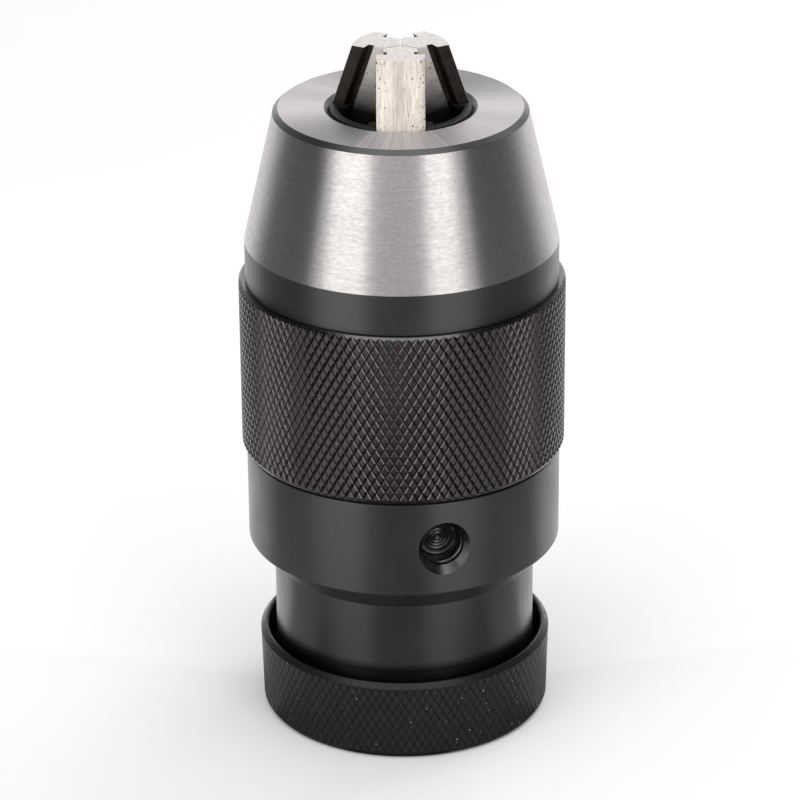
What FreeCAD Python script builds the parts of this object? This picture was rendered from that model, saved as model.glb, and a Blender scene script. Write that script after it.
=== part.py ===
import FreeCAD, Part
import math
import os

from FreeCAD import Vector

os.makedirs("parts", exist_ok=True)

# Keyless, self-tightening drill chuck, in millimetres.
# The axis of rotation is Z. z = 0 is the rear face, where the machine's taper
# goes in, and the jaws point along +Z. The jaws are closed.
# Threads are plain cylinders with a running clearance.

# ---------------------------------------------------------------- driving sizes

# The jaws and the cone they run in
JAW_ANGLES = (270.0, 30.0, 150.0)
JAW_TIP_Z = 108.8
JAW_LOW_Z = 85.0
JAW_LEAN = math.tan(math.radians(20.0))
JAW_GAP = 0.2
JAW_EDGE = 0.25
BLADE_TIP_EDGE = 0.08
BLADE_SHOULDER_EDGE = 0.4
BLADE_HALF_WIDTH = 2.55
BLADE_OUT = 3.2
NECK_HALF_WIDTH = 2.05
HEAD_IN = 4.2
HEAD_OUT = 7.1
HEAD_HALF_WIDTH = 3.65
HEAD_BACK_R = 8.0
JAW_TRIM_R = 14.3
FOOT_IN = 4.3
FOOT_OUT = 11.0
FOOT_HALF_WIDTH = 3.0
FOOT_NECK_HALF_WIDTH = 1.7
FOOT_HEIGHT = 2.0
FOOT_OVERLAP = 0.5
SLOT_END_GAP = 0.3
RUN = 0.07

# Hood
HOOD_FACE_Z = 99.2
HOOD_FACE_R = 18.46
HOOD_FACE_CHAMFER_Z = 98.5
HOOD_CONE_TOP_R = 19.29
HOOD_BAND_R = 23.96
HOOD_BAND_TOP_Z = 78.33
HOOD_MOUTH_R = 11.55
HOOD_MOUTH_DEPTH = 0.6
HOOD_BORE_GAP = 0.08
HOOD_SKIRT_BORE_R = 21.0
HOOD_SKIRT_R = 22.6

# Grip sleeve
GRIP_R = 25.0
GRIP_LOW_Z = 44.95
GRIP_TOP_Z = 72.0
GRIP_CHAMFER = 0.4

# Rear shell: neck, 45 degree shoulder, barrel and threaded spigot
NECK_R = 20.3
NECK_LOW_Z = 5.6
NECK_TOP_Z = 25.4
NECK_BORE_R = 17.0
NECK_EDGE = 0.4
BARREL_R = 24.29
BARREL_LOW_Z = 29.1
BARREL_TOP_Z = 44.2
BARREL_BREAK = 0.24
BARREL_TOP_BREAK = 0.2
JOINT_GROOVE_R = 23.5
LIP_BORE_R = 16.05
LIP_LOW_Z = 24.0
LIP_TOP_Z = 41.0
CHAMBER_R = 19.2
SPIGOT_TOP_Z = 60.0

# Blind hole for a hook spanner
SPANNER_ANGLE = -90.0 + 14.7
SPANNER_Z = 36.8
SPANNER_R = 3.0
SPANNER_FLOOR_R = 19.8
SPANNER_COUNTERSINK_R = 4.3
SPANNER_DIMPLE_R = 0.9
SPANNER_DIMPLE_DEPTH = 0.5

# Bush and felt inside the neck
BUSH_LOW_Z = 9.0
BUSH_CHAMFER = 0.3
FELT_LOW_Z = 6.2
FELT_TOP_Z = 8.8
FELT_GAP = 0.1

# Dowels: the sleeve's, the guide's and the rear ring's
SLEEVE_PIN_R = 0.8
SLEEVE_PIN_LENGTH = 6.0
GUIDE_PIN_R = 0.8
GUIDE_PIN_START = 0.6
DRIVE_PIN_R = 1.0
DRIVE_PIN_LENGTH = 4.8

# Stationary body
TAPER_MOUTH_R = 15.733 / 2
TAPER_PER_MM = 1 / 20.02
TAPER_DEPTH = 24.0
TAPER_EDGE = 0.5
HUB_R = 15.6
RING_SEAT_R = 14.5
RING_SEAT_EDGE = 0.3
KNOCKOUT_R = 3.0
SPINDLE_CHAMBER_R = 11.2
SPINDLE_CHAMBER_LOW_Z = 26.5
THREAD_LOW_Z = 47.0
FLANGE_R = 18.9
FLANGE_TOP_Z = 56.9
BODY_NOSE_R = 17.0
BODY_NOSE_EDGE = 0.5
BODY_TOP_Z = 60.2
THREAD_COUNTERSINK = 1.0

# Rear ring, a knurled cup
RING_FLOOR_Z = 5.0
RING_RECESS_Z = 2.2
RING_RECESS_R = 16.8
RING_BORE_R = 21.5
RING_LOW_R = 22.5
RING_TOP_R = 22.85
RING_TOP_Z = 13.0
RING_LOW_CHAMFER = 0.6
RING_LOW_CHAMFER_Z = 0.9
RING_RIM_CHAMFER = 0.75
RING_RIM_CHAMFER_DEPTH = 0.8
RING_BORE_EDGE = 0.25

# Retaining ring on the hub
SNAP_RING_LOW_Z = 1.0
SNAP_RING_IN = 0.9
SNAP_RING_OUT = 1.6
SNAP_RING_HALF_GAP = 2.4
SNAP_RING_HOLE_R = 0.5
SNAP_RING_HOLE_IN = 1.25
SNAP_RING_HOLE_SIDE = 3.8

# Thrust bearing
RACE_THICKNESS = 1.4
BALL_R = 1.19
BALL_PITCH_R = 17.4
BALL_COUNT = 28
BALL_SPACE = 2.4
CAGE_HALF_WIDTH = 1.55
CAGE_HALF_THICKNESS = 0.5
CAGE_HOLE_GAP = 0.04
FRONT_RACE_GAP = 0.4
REAR_RACE_GAP = 0.02

# Washers at the front of the body
WASHER_THICKNESS = 1.2
WASHER_BORE_GAP = 0.15
WASHER_RIM_GAP = 0.1
WAVE_THICKNESS = 0.5
WAVE_COUNT = 3
WAVE_BORE_GAP = 0.2
WAVE_RIM_GAP = 0.1
WAVE_END_GAP = 0.05

# Spindle
SPINDLE_R = 9.0
SPINDLE_LOW_Z = 44.9
SPINDLE_HEAD_LOW_Z = 78.6
SPINDLE_HEAD_SIDE = 5.35
SPINDLE_HEAD_GAP = 0.05
SPINDLE_CENTRE_R = 1.6
SPINDLE_CENTRE_DEPTH = 0.9
SPINDLE_TAIL_CHAMFER = 0.6
STOP_GROOVE_UP = 0.8
STOP_GROOVE_WIDTH = 1.1
STOP_GROOVE_DEPTH = 1.0
STOP_RING_GAP = 0.6
STOP_RING_HALF_GAP = 1.5
THREAD_CLEARANCE = 0.05

# Jaw guide
GUIDE_TOP_Z = 99.2
GUIDE_RIM_DEPTH = 0.3
GUIDE_RIM_CHAMFER = 0.4
GUIDE_INNER = 5.7
GUIDE_RAIL_LOW_Z = 85.5
GUIDE_RAIL_OUT = 6.3
GUIDE_RAIL_HALF_WIDTH = 4.75
GUIDE_RAIL_EDGE = 0.5
GUIDE_SLOT_EDGE = 0.15
GUIDE_FINGER_R = 19.4
GUIDE_RING_R = 18.3
GUIDE_RING_TOP_Z = 62.9
GUIDE_RING_CHAMFER = 1.1
GUIDE_FIT = 0.03

FAR = 40.0


# ------------------------------------------------------------- shape functions

def lean_at(z):
    """How far the jaws' leaning faces stand out at height z."""
    return (JAW_TIP_Z - z) * JAW_LEAN


def turned(points):
    """Solid of revolution about Z from an outline of (radius, z) corners."""
    corners = [Vector(r, 0, z) for r, z in points]
    outline = Part.makePolygon(corners + corners[:1])
    return Part.Face(outline).revolve(Vector(0, 0, 0), Vector(0, 0, 1), 360)


def tube(r_in, r_out, z_low, z_high, chamfer=0.0):
    """Plain ring, with its outer edges chamfered."""
    points = [(r_in, z_low), (r_out - chamfer, z_low)]
    if chamfer:
        points.append((r_out, z_low + chamfer))
        points.append((r_out, z_high - chamfer))
    points.append((r_out - chamfer, z_high))
    points.append((r_in, z_high))
    return turned(points)


def rounded_face(corners, z):
    """Flat face at height z from (x, y, corner radius) entries in order."""
    edges = []
    count = len(corners)
    ends = []
    for i, (x, y, radius) in enumerate(corners):
        here = Vector(x, y, z)
        back = Vector(corners[i - 1][0], corners[i - 1][1], z) - here
        ahead = Vector(corners[(i + 1) % count][0], corners[(i + 1) % count][1], z) - here
        back.normalize()
        ahead.normalize()
        half = back.getAngle(ahead) / 2
        reach = radius / math.tan(half)
        middle = back + ahead
        start = here + back * reach
        stop = here + ahead * reach
        if radius:
            middle.normalize()
            crown = here + middle * (radius / math.sin(half) - radius)
            edges.append(Part.Arc(start, crown, stop).toShape())
        ends.append((start, stop))
    for i in range(count):
        edges.append(Part.LineSegment(ends[i - 1][1], ends[i][0]).toShape())
    return Part.Face(Part.Wire(Part.__sortEdges__(edges)))


def straight(face, z_low):
    """Prism that goes straight down from a flat face to z_low."""
    depth = face.BoundBox.ZMax - z_low
    return face.extrude(Vector(0, 0, -depth))


def leaning(face, z_low):
    """Prism that goes down from a flat face to z_low along the jaws' lean."""
    depth = face.BoundBox.ZMax - z_low
    return face.extrude(Vector(depth * JAW_LEAN, 0, -depth))


def slab(x_low, x_high, half_width, z_low, z_high):
    """Box from x_low to x_high, centred on Y."""
    corner = Vector(x_low, -half_width, z_low)
    return Part.makeBox(x_high - x_low, 2 * half_width, z_high - z_low, corner)


def spun(shape, angle):
    """Copy of a shape turned about Z."""
    copy = shape.copy()
    copy.rotate(Vector(0, 0, 0), Vector(0, 0, 1), angle)
    return copy


def pattern(shape, angles):
    """Copies of a shape at each angle, as a list."""
    return [spun(shape, angle) for angle in angles]


def evenly(count, start=0.0):
    """Angles of a ring of equal steps."""
    return [start + 360.0 * i / count for i in range(count)]


# ----------------------------------------------------------------------- jaws

def jaw_blade():
    """Gripping blade: an upright 120 degree wedge whose outer face leans."""
    tip = JAW_GAP / 2 / math.sin(math.radians(60))
    shoulder = tip + BLADE_HALF_WIDTH / math.tan(math.radians(60))
    wedge = rounded_face([
        (tip, 0, BLADE_TIP_EDGE),
        (shoulder, -BLADE_HALF_WIDTH, BLADE_SHOULDER_EDGE),
        (FAR, -BLADE_HALF_WIDTH, 0),
        (FAR, BLADE_HALF_WIDTH, 0),
        (shoulder, BLADE_HALF_WIDTH, BLADE_SHOULDER_EDGE),
    ], JAW_TIP_Z)
    outer = rounded_face([
        (-FAR, -BLADE_HALF_WIDTH, 0),
        (BLADE_OUT, -BLADE_HALF_WIDTH, JAW_EDGE),
        (BLADE_OUT, BLADE_HALF_WIDTH, JAW_EDGE),
        (-FAR, BLADE_HALF_WIDTH, 0),
    ], JAW_TIP_Z)
    return straight(wedge, JAW_LOW_Z).common(leaning(outer, JAW_LOW_Z))


def jaw_back():
    """Leaning neck and head of the T, with the head's back curved."""
    block = rounded_face([
        (HEAD_IN, -HEAD_HALF_WIDTH, JAW_EDGE),
        (HEAD_OUT + 1, -HEAD_HALF_WIDTH, 0),
        (HEAD_OUT + 1, HEAD_HALF_WIDTH, 0),
        (HEAD_IN, HEAD_HALF_WIDTH, JAW_EDGE),
    ], JAW_TIP_Z)
    centre = Vector(HEAD_OUT - HEAD_BACK_R, 0, JAW_TIP_Z)
    round_back = Part.Face(Part.Wire(Part.makeCircle(HEAD_BACK_R, centre)))
    start = BLADE_OUT - FOOT_OVERLAP
    stop = HEAD_IN + FOOT_OVERLAP
    neck = rounded_face([
        (start, -NECK_HALF_WIDTH, 0),
        (stop, -NECK_HALF_WIDTH, 0),
        (stop, NECK_HALF_WIDTH, 0),
        (start, NECK_HALF_WIDTH, 0),
    ], JAW_TIP_Z)
    head = leaning(block, JAW_LOW_Z).common(leaning(round_back, JAW_LOW_Z))
    return head.fuse(leaning(neck, JAW_LOW_Z))


def jaw_foot():
    """T-foot that hangs from the jaw into the spindle's head."""
    top = JAW_LOW_Z + FOOT_OVERLAP
    shelf = JAW_LOW_Z - FOOT_HEIGHT
    neck = slab(FOOT_IN, FOOT_OUT, FOOT_NECK_HALF_WIDTH, shelf - FOOT_OVERLAP, top)
    foot = slab(FOOT_IN, FOOT_OUT, FOOT_HALF_WIDTH, shelf - FOOT_HEIGHT, shelf)
    return neck.fuse(foot)


def jaw():
    """One jaw, leaning out along +X."""
    body = jaw_blade().fuse(jaw_back())
    body = body.common(Part.makeCylinder(JAW_TRIM_R, JAW_TIP_Z))
    return body.fuse(jaw_foot()).removeSplitter()


# ------------------------------------------------------- spindle and its ring

def spindle_stop_groove():
    """Low and high z, and inner radius, of the groove for the stop ring."""
    low = SPINDLE_LOW_Z + STOP_GROOVE_UP
    return low, low + STOP_GROOVE_WIDTH, SPINDLE_R - STOP_GROOVE_DEPTH


def spindle():
    """Feed screw with a T-slotted conical head."""
    top = JAW_LOW_Z - SPINDLE_HEAD_GAP
    groove_low, groove_high, groove_r = spindle_stop_groove()
    body = turned([
        (0, SPINDLE_LOW_Z),
        (SPINDLE_R - SPINDLE_TAIL_CHAMFER, SPINDLE_LOW_Z),
        (SPINDLE_R, SPINDLE_LOW_Z + SPINDLE_TAIL_CHAMFER),
        (SPINDLE_R, groove_low),
        (groove_r, groove_low),
        (groove_r, groove_high),
        (SPINDLE_R, groove_high),
        (SPINDLE_R, SPINDLE_HEAD_LOW_Z),
        (SPINDLE_HEAD_SIDE + lean_at(SPINDLE_HEAD_LOW_Z), SPINDLE_HEAD_LOW_Z),
        (SPINDLE_HEAD_SIDE + lean_at(top), top),
        (SPINDLE_CENTRE_R, top),
        (0, top - SPINDLE_CENTRE_DEPTH),
    ])
    shelf = JAW_LOW_Z - FOOT_HEIGHT
    floor = shelf - FOOT_HEIGHT
    start = FOOT_IN - SLOT_END_GAP
    narrow = slab(start, FAR, FOOT_NECK_HALF_WIDTH + RUN, shelf - FOOT_OVERLAP, top + 1)
    wide = slab(start, FAR, FOOT_HALF_WIDTH + RUN, floor - RUN, shelf + RUN)
    slot = narrow.fuse(wide)
    for cut in pattern(slot, JAW_ANGLES):
        body = body.cut(cut)
    return body


def spindle_stop_ring():
    """Open spring ring at the spindle's tail."""
    groove_low, groove_high, groove_r = spindle_stop_groove()
    ring = tube(groove_r, SPINDLE_CHAMBER_R - STOP_RING_GAP, groove_low, groove_high)
    return ring.cut(slab(0, FAR, STOP_RING_HALF_GAP, 0, JAW_TIP_Z))


# -------------------------------------------------------- hood, sleeve, guide

def bore_r(z):
    """Radius of the hood's conical bore at height z."""
    return HEAD_OUT + HOOD_BORE_GAP + lean_at(z)


def bore_end_z():
    """Height where the conical bore meets the skirt's bore."""
    return JAW_TIP_Z - (HOOD_SKIRT_BORE_R - HEAD_OUT - HOOD_BORE_GAP) / JAW_LEAN


def hood():
    """Front hood: threaded skirt, band, ground cone and front face."""
    mouth_low = HOOD_FACE_Z - HOOD_MOUTH_DEPTH
    body = turned([
        (HOOD_SKIRT_BORE_R, GRIP_LOW_Z),
        (HOOD_SKIRT_R, GRIP_LOW_Z),
        (HOOD_SKIRT_R, GRIP_TOP_Z),
        (HOOD_BAND_R, GRIP_TOP_Z),
        (HOOD_BAND_R, HOOD_BAND_TOP_Z),
        (HOOD_CONE_TOP_R, HOOD_FACE_CHAMFER_Z),
        (HOOD_FACE_R, HOOD_FACE_Z),
        (HOOD_MOUTH_R, HOOD_FACE_Z),
        (bore_r(mouth_low), mouth_low),
        (HOOD_SKIRT_BORE_R, bore_end_z()),
    ])
    for pin in pattern(guide_pin(), pin_angles()):
        body = body.cut(pin)
    for pin in pattern(sleeve_pin(), pin_angles()):
        body = body.cut(pin)
    return body


def grip_sleeve():
    """Sleeve pressed over the hood's skirt; its outside is the knurl's crests."""
    body = tube(HOOD_SKIRT_R, GRIP_R, GRIP_LOW_Z, GRIP_TOP_Z, GRIP_CHAMFER)
    for pin in pattern(sleeve_pin(), pin_angles()):
        body = body.cut(pin)
    return body


def pin_angles():
    """Angles midway between the jaws."""
    return [angle + 60.0 for angle in JAW_ANGLES]


def sleeve_pin():
    """Dowel on the joint line of the skirt and the sleeve, along Z."""
    place = Vector(HOOD_SKIRT_R, 0, GRIP_LOW_Z)
    return Part.makeCylinder(SLEEVE_PIN_R, SLEEVE_PIN_LENGTH, place)


def guide_pin():
    """Radial dowel from the skirt into the guide's ring."""
    place = Vector(GUIDE_RING_R + GUIDE_PIN_START, 0, (SPIGOT_TOP_Z + GUIDE_RING_TOP_Z) / 2)
    length = HOOD_SKIRT_R - THREAD_CLEARANCE - place.x
    return Part.makeCylinder(GUIDE_PIN_R, length, place, Vector(1, 0, 0))


def guide_blank():
    """Conical guide before its slots are cut, with the rails' metal added."""
    def outer(z):
        return bore_r(z) - GUIDE_FIT

    skirt_r = HOOD_SKIRT_BORE_R - GUIDE_FIT
    finger_z = JAW_TIP_Z - (GUIDE_FINGER_R - GUIDE_INNER) / JAW_LEAN
    rim_low = GUIDE_TOP_Z - GUIDE_RIM_DEPTH
    rim_r = GUIDE_INNER + lean_at(GUIDE_TOP_Z) + GUIDE_RIM_CHAMFER
    envelope = turned([
        (0, SPIGOT_TOP_Z),
        (skirt_r, SPIGOT_TOP_Z),
        (skirt_r, bore_end_z()),
        (outer(GUIDE_TOP_Z), GUIDE_TOP_Z),
        (0, GUIDE_TOP_Z),
    ])
    hollow = turned([
        (0, SPIGOT_TOP_Z - 1),
        (GUIDE_RING_R, SPIGOT_TOP_Z - 1),
        (GUIDE_RING_R, GUIDE_RING_TOP_Z - GUIDE_RING_CHAMFER),
        (GUIDE_FINGER_R, GUIDE_RING_TOP_Z),
        (GUIDE_FINGER_R, finger_z),
        (GUIDE_INNER + lean_at(rim_low), rim_low),
        (rim_r, GUIDE_TOP_Z),
        (rim_r, GUIDE_TOP_Z + 1),
        (0, GUIDE_TOP_Z + 1),
    ])
    shell = envelope.cut(hollow)
    rail_in = BLADE_OUT + RUN + THREAD_CLEARANCE
    rail = rounded_face([
        (rail_in, -GUIDE_RAIL_HALF_WIDTH, GUIDE_RAIL_EDGE),
        (GUIDE_RAIL_OUT, -GUIDE_RAIL_HALF_WIDTH, 0),
        (GUIDE_RAIL_OUT, GUIDE_RAIL_HALF_WIDTH, 0),
        (rail_in, GUIDE_RAIL_HALF_WIDTH, GUIDE_RAIL_EDGE),
    ], JAW_TIP_Z)
    layer = Part.makeCylinder(FAR, GUIDE_TOP_Z - GUIDE_RAIL_LOW_Z, Vector(0, 0, GUIDE_RAIL_LOW_Z))
    rails = leaning(rail, JAW_LOW_Z).common(layer).common(envelope)
    return shell.fuse(pattern(rails, JAW_ANGLES))


def guide_slot():
    """Room for one jaw, with a running clearance all round."""
    head = rounded_face([
        (HEAD_IN - RUN, -HEAD_HALF_WIDTH - RUN, GUIDE_SLOT_EDGE),
        (FAR, -HEAD_HALF_WIDTH - RUN, 0),
        (FAR, HEAD_HALF_WIDTH + RUN, 0),
        (HEAD_IN - RUN, HEAD_HALF_WIDTH + RUN, GUIDE_SLOT_EDGE),
    ], JAW_TIP_Z)
    neck = rounded_face([
        (0, -NECK_HALF_WIDTH - RUN, 0),
        (HEAD_IN + 1, -NECK_HALF_WIDTH - RUN, 0),
        (HEAD_IN + 1, NECK_HALF_WIDTH + RUN, 0),
        (0, NECK_HALF_WIDTH + RUN, 0),
    ], JAW_TIP_Z)
    low = HEAD_HALF_WIDTH + RUN
    plain = slab(0, FAR, low, GUIDE_RING_TOP_Z + 0.1, GUIDE_RAIL_LOW_Z)
    slot = leaning(head, GUIDE_RAIL_LOW_Z).fuse(leaning(neck, GUIDE_RAIL_LOW_Z))
    return slot.fuse(plain)


def jaw_guide():
    """Slotted cone that keeps the jaws apart and draws them back out."""
    body = guide_blank()
    for cut in pattern(guide_slot(), JAW_ANGLES):
        body = body.cut(cut)
    for pin in pattern(guide_pin(), pin_angles()):
        body = body.cut(pin)
    return body


# ------------------------------------------------------------------ rear shell

def spanner_hole():
    """Countersunk blind hole with a drilled centre mark in its floor."""
    outline = turned([
        (0, SPANNER_FLOOR_R - SPANNER_DIMPLE_DEPTH),
        (SPANNER_DIMPLE_R, SPANNER_FLOOR_R),
        (SPANNER_R, SPANNER_FLOOR_R),
        (SPANNER_R, BARREL_R - (SPANNER_COUNTERSINK_R - SPANNER_R)),
        (SPANNER_COUNTERSINK_R + 1, BARREL_R + 1),
        (0, BARREL_R + 1),
    ])
    outline.rotate(Vector(0, 0, 0), Vector(0, 1, 0), 90)
    outline.translate(Vector(0, 0, SPANNER_Z))
    return spun(outline, SPANNER_ANGLE)


def rear_shell():
    """Neck, shoulder, barrel, inner lip and threaded spigot in one piece."""
    body = turned([
        (NECK_BORE_R, NECK_LOW_Z),
        (NECK_R - NECK_EDGE, NECK_LOW_Z),
        (NECK_R, NECK_LOW_Z + NECK_EDGE),
        (NECK_R, NECK_TOP_Z),
        (BARREL_R - BARREL_BREAK, BARREL_LOW_Z),
        (BARREL_R, BARREL_LOW_Z + BARREL_BREAK),
        (BARREL_R, BARREL_TOP_Z - BARREL_TOP_BREAK),
        (BARREL_R - BARREL_TOP_BREAK, BARREL_TOP_Z),
        (JOINT_GROOVE_R, BARREL_TOP_Z),
        (JOINT_GROOVE_R, GRIP_LOW_Z),
        (HOOD_SKIRT_BORE_R, GRIP_LOW_Z),
        (HOOD_SKIRT_BORE_R, SPIGOT_TOP_Z),
        (CHAMBER_R, SPIGOT_TOP_Z),
        (CHAMBER_R, LIP_TOP_Z),
        (LIP_BORE_R, LIP_TOP_Z),
        (LIP_BORE_R, LIP_LOW_Z),
        (NECK_BORE_R, LIP_LOW_Z),
    ])
    return body.cut(spanner_hole())


def rear_bush():
    """Bronze bush between the neck and the hub."""
    return tube(HUB_R + THREAD_CLEARANCE, NECK_BORE_R, BUSH_LOW_Z, LIP_LOW_Z, BUSH_CHAMFER)


def dust_ring():
    """Felt ring at the neck's open end."""
    return tube(HUB_R + FELT_GAP, NECK_BORE_R, FELT_LOW_Z, FELT_TOP_Z)


# ------------------------------------------------------- body and rear ring

def chuck_body():
    """Core: taper socket, hub, thrust flange and feed-thread bore."""
    def taper_r(z):
        return TAPER_MOUTH_R - z * TAPER_PER_MM / 2

    flange_low = LIP_TOP_Z + 2 * RACE_THICKNESS + BALL_SPACE
    thread_r = SPINDLE_R + THREAD_CLEARANCE
    body = turned([
        (taper_r(0) + TAPER_EDGE, 0),
        (RING_SEAT_R - RING_SEAT_EDGE, 0),
        (RING_SEAT_R, RING_SEAT_EDGE),
        (RING_SEAT_R, SNAP_RING_LOW_Z),
        (snap_ring_r()[0], SNAP_RING_LOW_Z),
        (snap_ring_r()[0], RING_RECESS_Z),
        (RING_SEAT_R, RING_RECESS_Z),
        (RING_SEAT_R, RING_FLOOR_Z),
        (HUB_R, RING_FLOOR_Z),
        (HUB_R, flange_low),
        (FLANGE_R, flange_low),
        (FLANGE_R, FLANGE_TOP_Z),
        (BODY_NOSE_R, FLANGE_TOP_Z),
        (BODY_NOSE_R, BODY_TOP_Z - BODY_NOSE_EDGE),
        (BODY_NOSE_R - BODY_NOSE_EDGE, BODY_TOP_Z),
        (thread_r + THREAD_COUNTERSINK, BODY_TOP_Z),
        (thread_r, BODY_TOP_Z - THREAD_COUNTERSINK),
        (thread_r, THREAD_LOW_Z),
        (SPINDLE_CHAMBER_R, THREAD_LOW_Z),
        (SPINDLE_CHAMBER_R, SPINDLE_CHAMBER_LOW_Z),
        (KNOCKOUT_R, SPINDLE_CHAMBER_LOW_Z),
        (KNOCKOUT_R, TAPER_DEPTH),
        (taper_r(TAPER_DEPTH), TAPER_DEPTH),
        (taper_r(TAPER_EDGE), TAPER_EDGE),
    ])
    for pin in pattern(drive_pin(), pin_angles()):
        body = body.cut(pin)
    return body


def snap_ring_r():
    """Inner and outer radius of the hub's retaining ring."""
    return RING_SEAT_R - SNAP_RING_IN, RING_SEAT_R + SNAP_RING_OUT


def hub_snap_ring():
    """Retaining ring with two lugs for pliers."""
    r_in, r_out = snap_ring_r()
    ring = tube(r_in, r_out, SNAP_RING_LOW_Z, RING_RECESS_Z)
    ring = ring.cut(slab(0, FAR, SNAP_RING_HALF_GAP, 0, JAW_LOW_Z))
    for side in (-1, 1):
        place = Vector(r_in + SNAP_RING_HOLE_IN, side * SNAP_RING_HOLE_SIDE, 0)
        ring = ring.cut(Part.makeCylinder(SNAP_RING_HOLE_R, RING_RECESS_Z, place))
    return ring


def drive_pin():
    """Pin on the joint line of the hub and the rear ring, along Z."""
    place = Vector(RING_SEAT_R, 0, RING_RECESS_Z)
    return Part.makeCylinder(DRIVE_PIN_R, DRIVE_PIN_LENGTH, place)


def rear_grip_ring():
    """Cup fixed to the hub; its outside is the knurl's crests."""
    body = turned([
        (RING_RECESS_R, 0),
        (RING_LOW_R - RING_LOW_CHAMFER, 0),
        (RING_LOW_R, RING_LOW_CHAMFER_Z),
        (RING_TOP_R, RING_TOP_Z - RING_RIM_CHAMFER_DEPTH),
        (RING_TOP_R - RING_RIM_CHAMFER, RING_TOP_Z),
        (RING_BORE_R + RING_BORE_EDGE, RING_TOP_Z),
        (RING_BORE_R, RING_TOP_Z - RING_BORE_EDGE),
        (RING_BORE_R, RING_FLOOR_Z),
        (RING_SEAT_R, RING_FLOOR_Z),
        (RING_SEAT_R, RING_RECESS_Z),
        (RING_RECESS_R, RING_RECESS_Z),
    ])
    for pin in pattern(drive_pin(), pin_angles()):
        body = body.cut(pin)
    return body


# --------------------------------------------------------------- thrust bearing

def rear_race():
    """Hardened washer on the shell's lip."""
    return tube(LIP_BORE_R, CHAMBER_R - REAR_RACE_GAP, LIP_TOP_Z, LIP_TOP_Z + RACE_THICKNESS)


def front_race():
    """Hardened washer under the body's flange."""
    low = LIP_TOP_Z + RACE_THICKNESS + BALL_SPACE
    return tube(HUB_R, CHAMBER_R - FRONT_RACE_GAP, low, low + RACE_THICKNESS)


def ball_centre():
    """Centre of the ball that lies on +X."""
    return Vector(BALL_PITCH_R, 0, LIP_TOP_Z + RACE_THICKNESS + BALL_SPACE / 2)


def thrust_balls():
    """Balls of the thrust bearing, as separate solids."""
    ball = Part.makeSphere(BALL_R, ball_centre())
    return Part.makeCompound(pattern(ball, evenly(BALL_COUNT)))


def ball_cage():
    """Flat cage with one hole for each ball."""
    centre = ball_centre()
    low = centre.z - CAGE_HALF_THICKNESS
    inner = BALL_PITCH_R - CAGE_HALF_WIDTH
    outer = BALL_PITCH_R + CAGE_HALF_WIDTH
    body = tube(inner, outer, low, low + 2 * CAGE_HALF_THICKNESS)
    hole = Part.makeCylinder(BALL_R + CAGE_HOLE_GAP, BALL_SPACE, centre - Vector(0, 0, BALL_SPACE / 2))
    for cut in pattern(hole, evenly(BALL_COUNT)):
        body = body.cut(cut)
    return body


# ------------------------------------------------------------ front end washers

def front_washer():
    """Flat washer that turns with the jaw guide's ring."""
    low = SPIGOT_TOP_Z - WASHER_THICKNESS
    return tube(BODY_NOSE_R + WASHER_BORE_GAP, CHAMBER_R - WASHER_RIM_GAP, low, SPIGOT_TOP_Z)


def wave_washer():
    """Three-wave spring washer between the flange and the flat washer."""
    gap = SPIGOT_TOP_Z - WASHER_THICKNESS - FLANGE_TOP_Z - WAVE_END_GAP
    swing = (gap - WAVE_THICKNESS) / 2
    steps = 36

    def wavy(radius):
        points = []
        for i in range(steps):
            turn = 2 * math.pi * i / steps
            height = FLANGE_TOP_Z + swing * (1 + math.cos(WAVE_COUNT * turn))
            points.append(Vector(radius * math.cos(turn), radius * math.sin(turn), height))
        curve = Part.BSplineCurve()
        curve.interpolate(points, PeriodicFlag=True)
        return curve.toShape()

    band = Part.makeRuledSurface(wavy(BODY_NOSE_R + WAVE_BORE_GAP), wavy(FLANGE_R - WAVE_RIM_GAP))
    return band.extrude(Vector(0, 0, WAVE_THICKNESS))


# ------------------------------------------------------------------------ write

PIECES = {
    "chuck_body": chuck_body(),
    "rear_grip_ring": rear_grip_ring(),
    "ring_drive_pins": Part.makeCompound(pattern(drive_pin(), pin_angles())),
    "hub_snap_ring": hub_snap_ring(),
    "front_race": front_race(),
    "thrust_balls": thrust_balls(),
    "ball_cage": ball_cage(),
    "rear_race": rear_race(),
    "rear_shell": rear_shell(),
    "rear_bush": rear_bush(),
    "dust_ring": dust_ring(),
    "wave_washer": wave_washer(),
    "front_washer": front_washer(),
    "hood": hood(),
    "grip_sleeve": grip_sleeve(),
    "sleeve_key_pins": Part.makeCompound(pattern(sleeve_pin(), pin_angles())),
    "jaw_guide": jaw_guide(),
    "guide_pins": Part.makeCompound(pattern(guide_pin(), pin_angles())),
    "spindle": spindle(),
    "spindle_stop_ring": spindle_stop_ring(),
}
for number, jaw_angle in enumerate(JAW_ANGLES, start=1):
    PIECES["jaw_%d" % number] = spun(jaw(), jaw_angle)

for name, shape in PIECES.items():
    shape.exportStep("parts/%s.step" % name)
    print("%-18s solids %2d valid %s volume %9.1f mm3" % (
        name, len(shape.Solids), shape.isValid(), shape.Volume))
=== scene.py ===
import math

import bmesh
import bpy
from mathutils import Matrix, Vector


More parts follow.
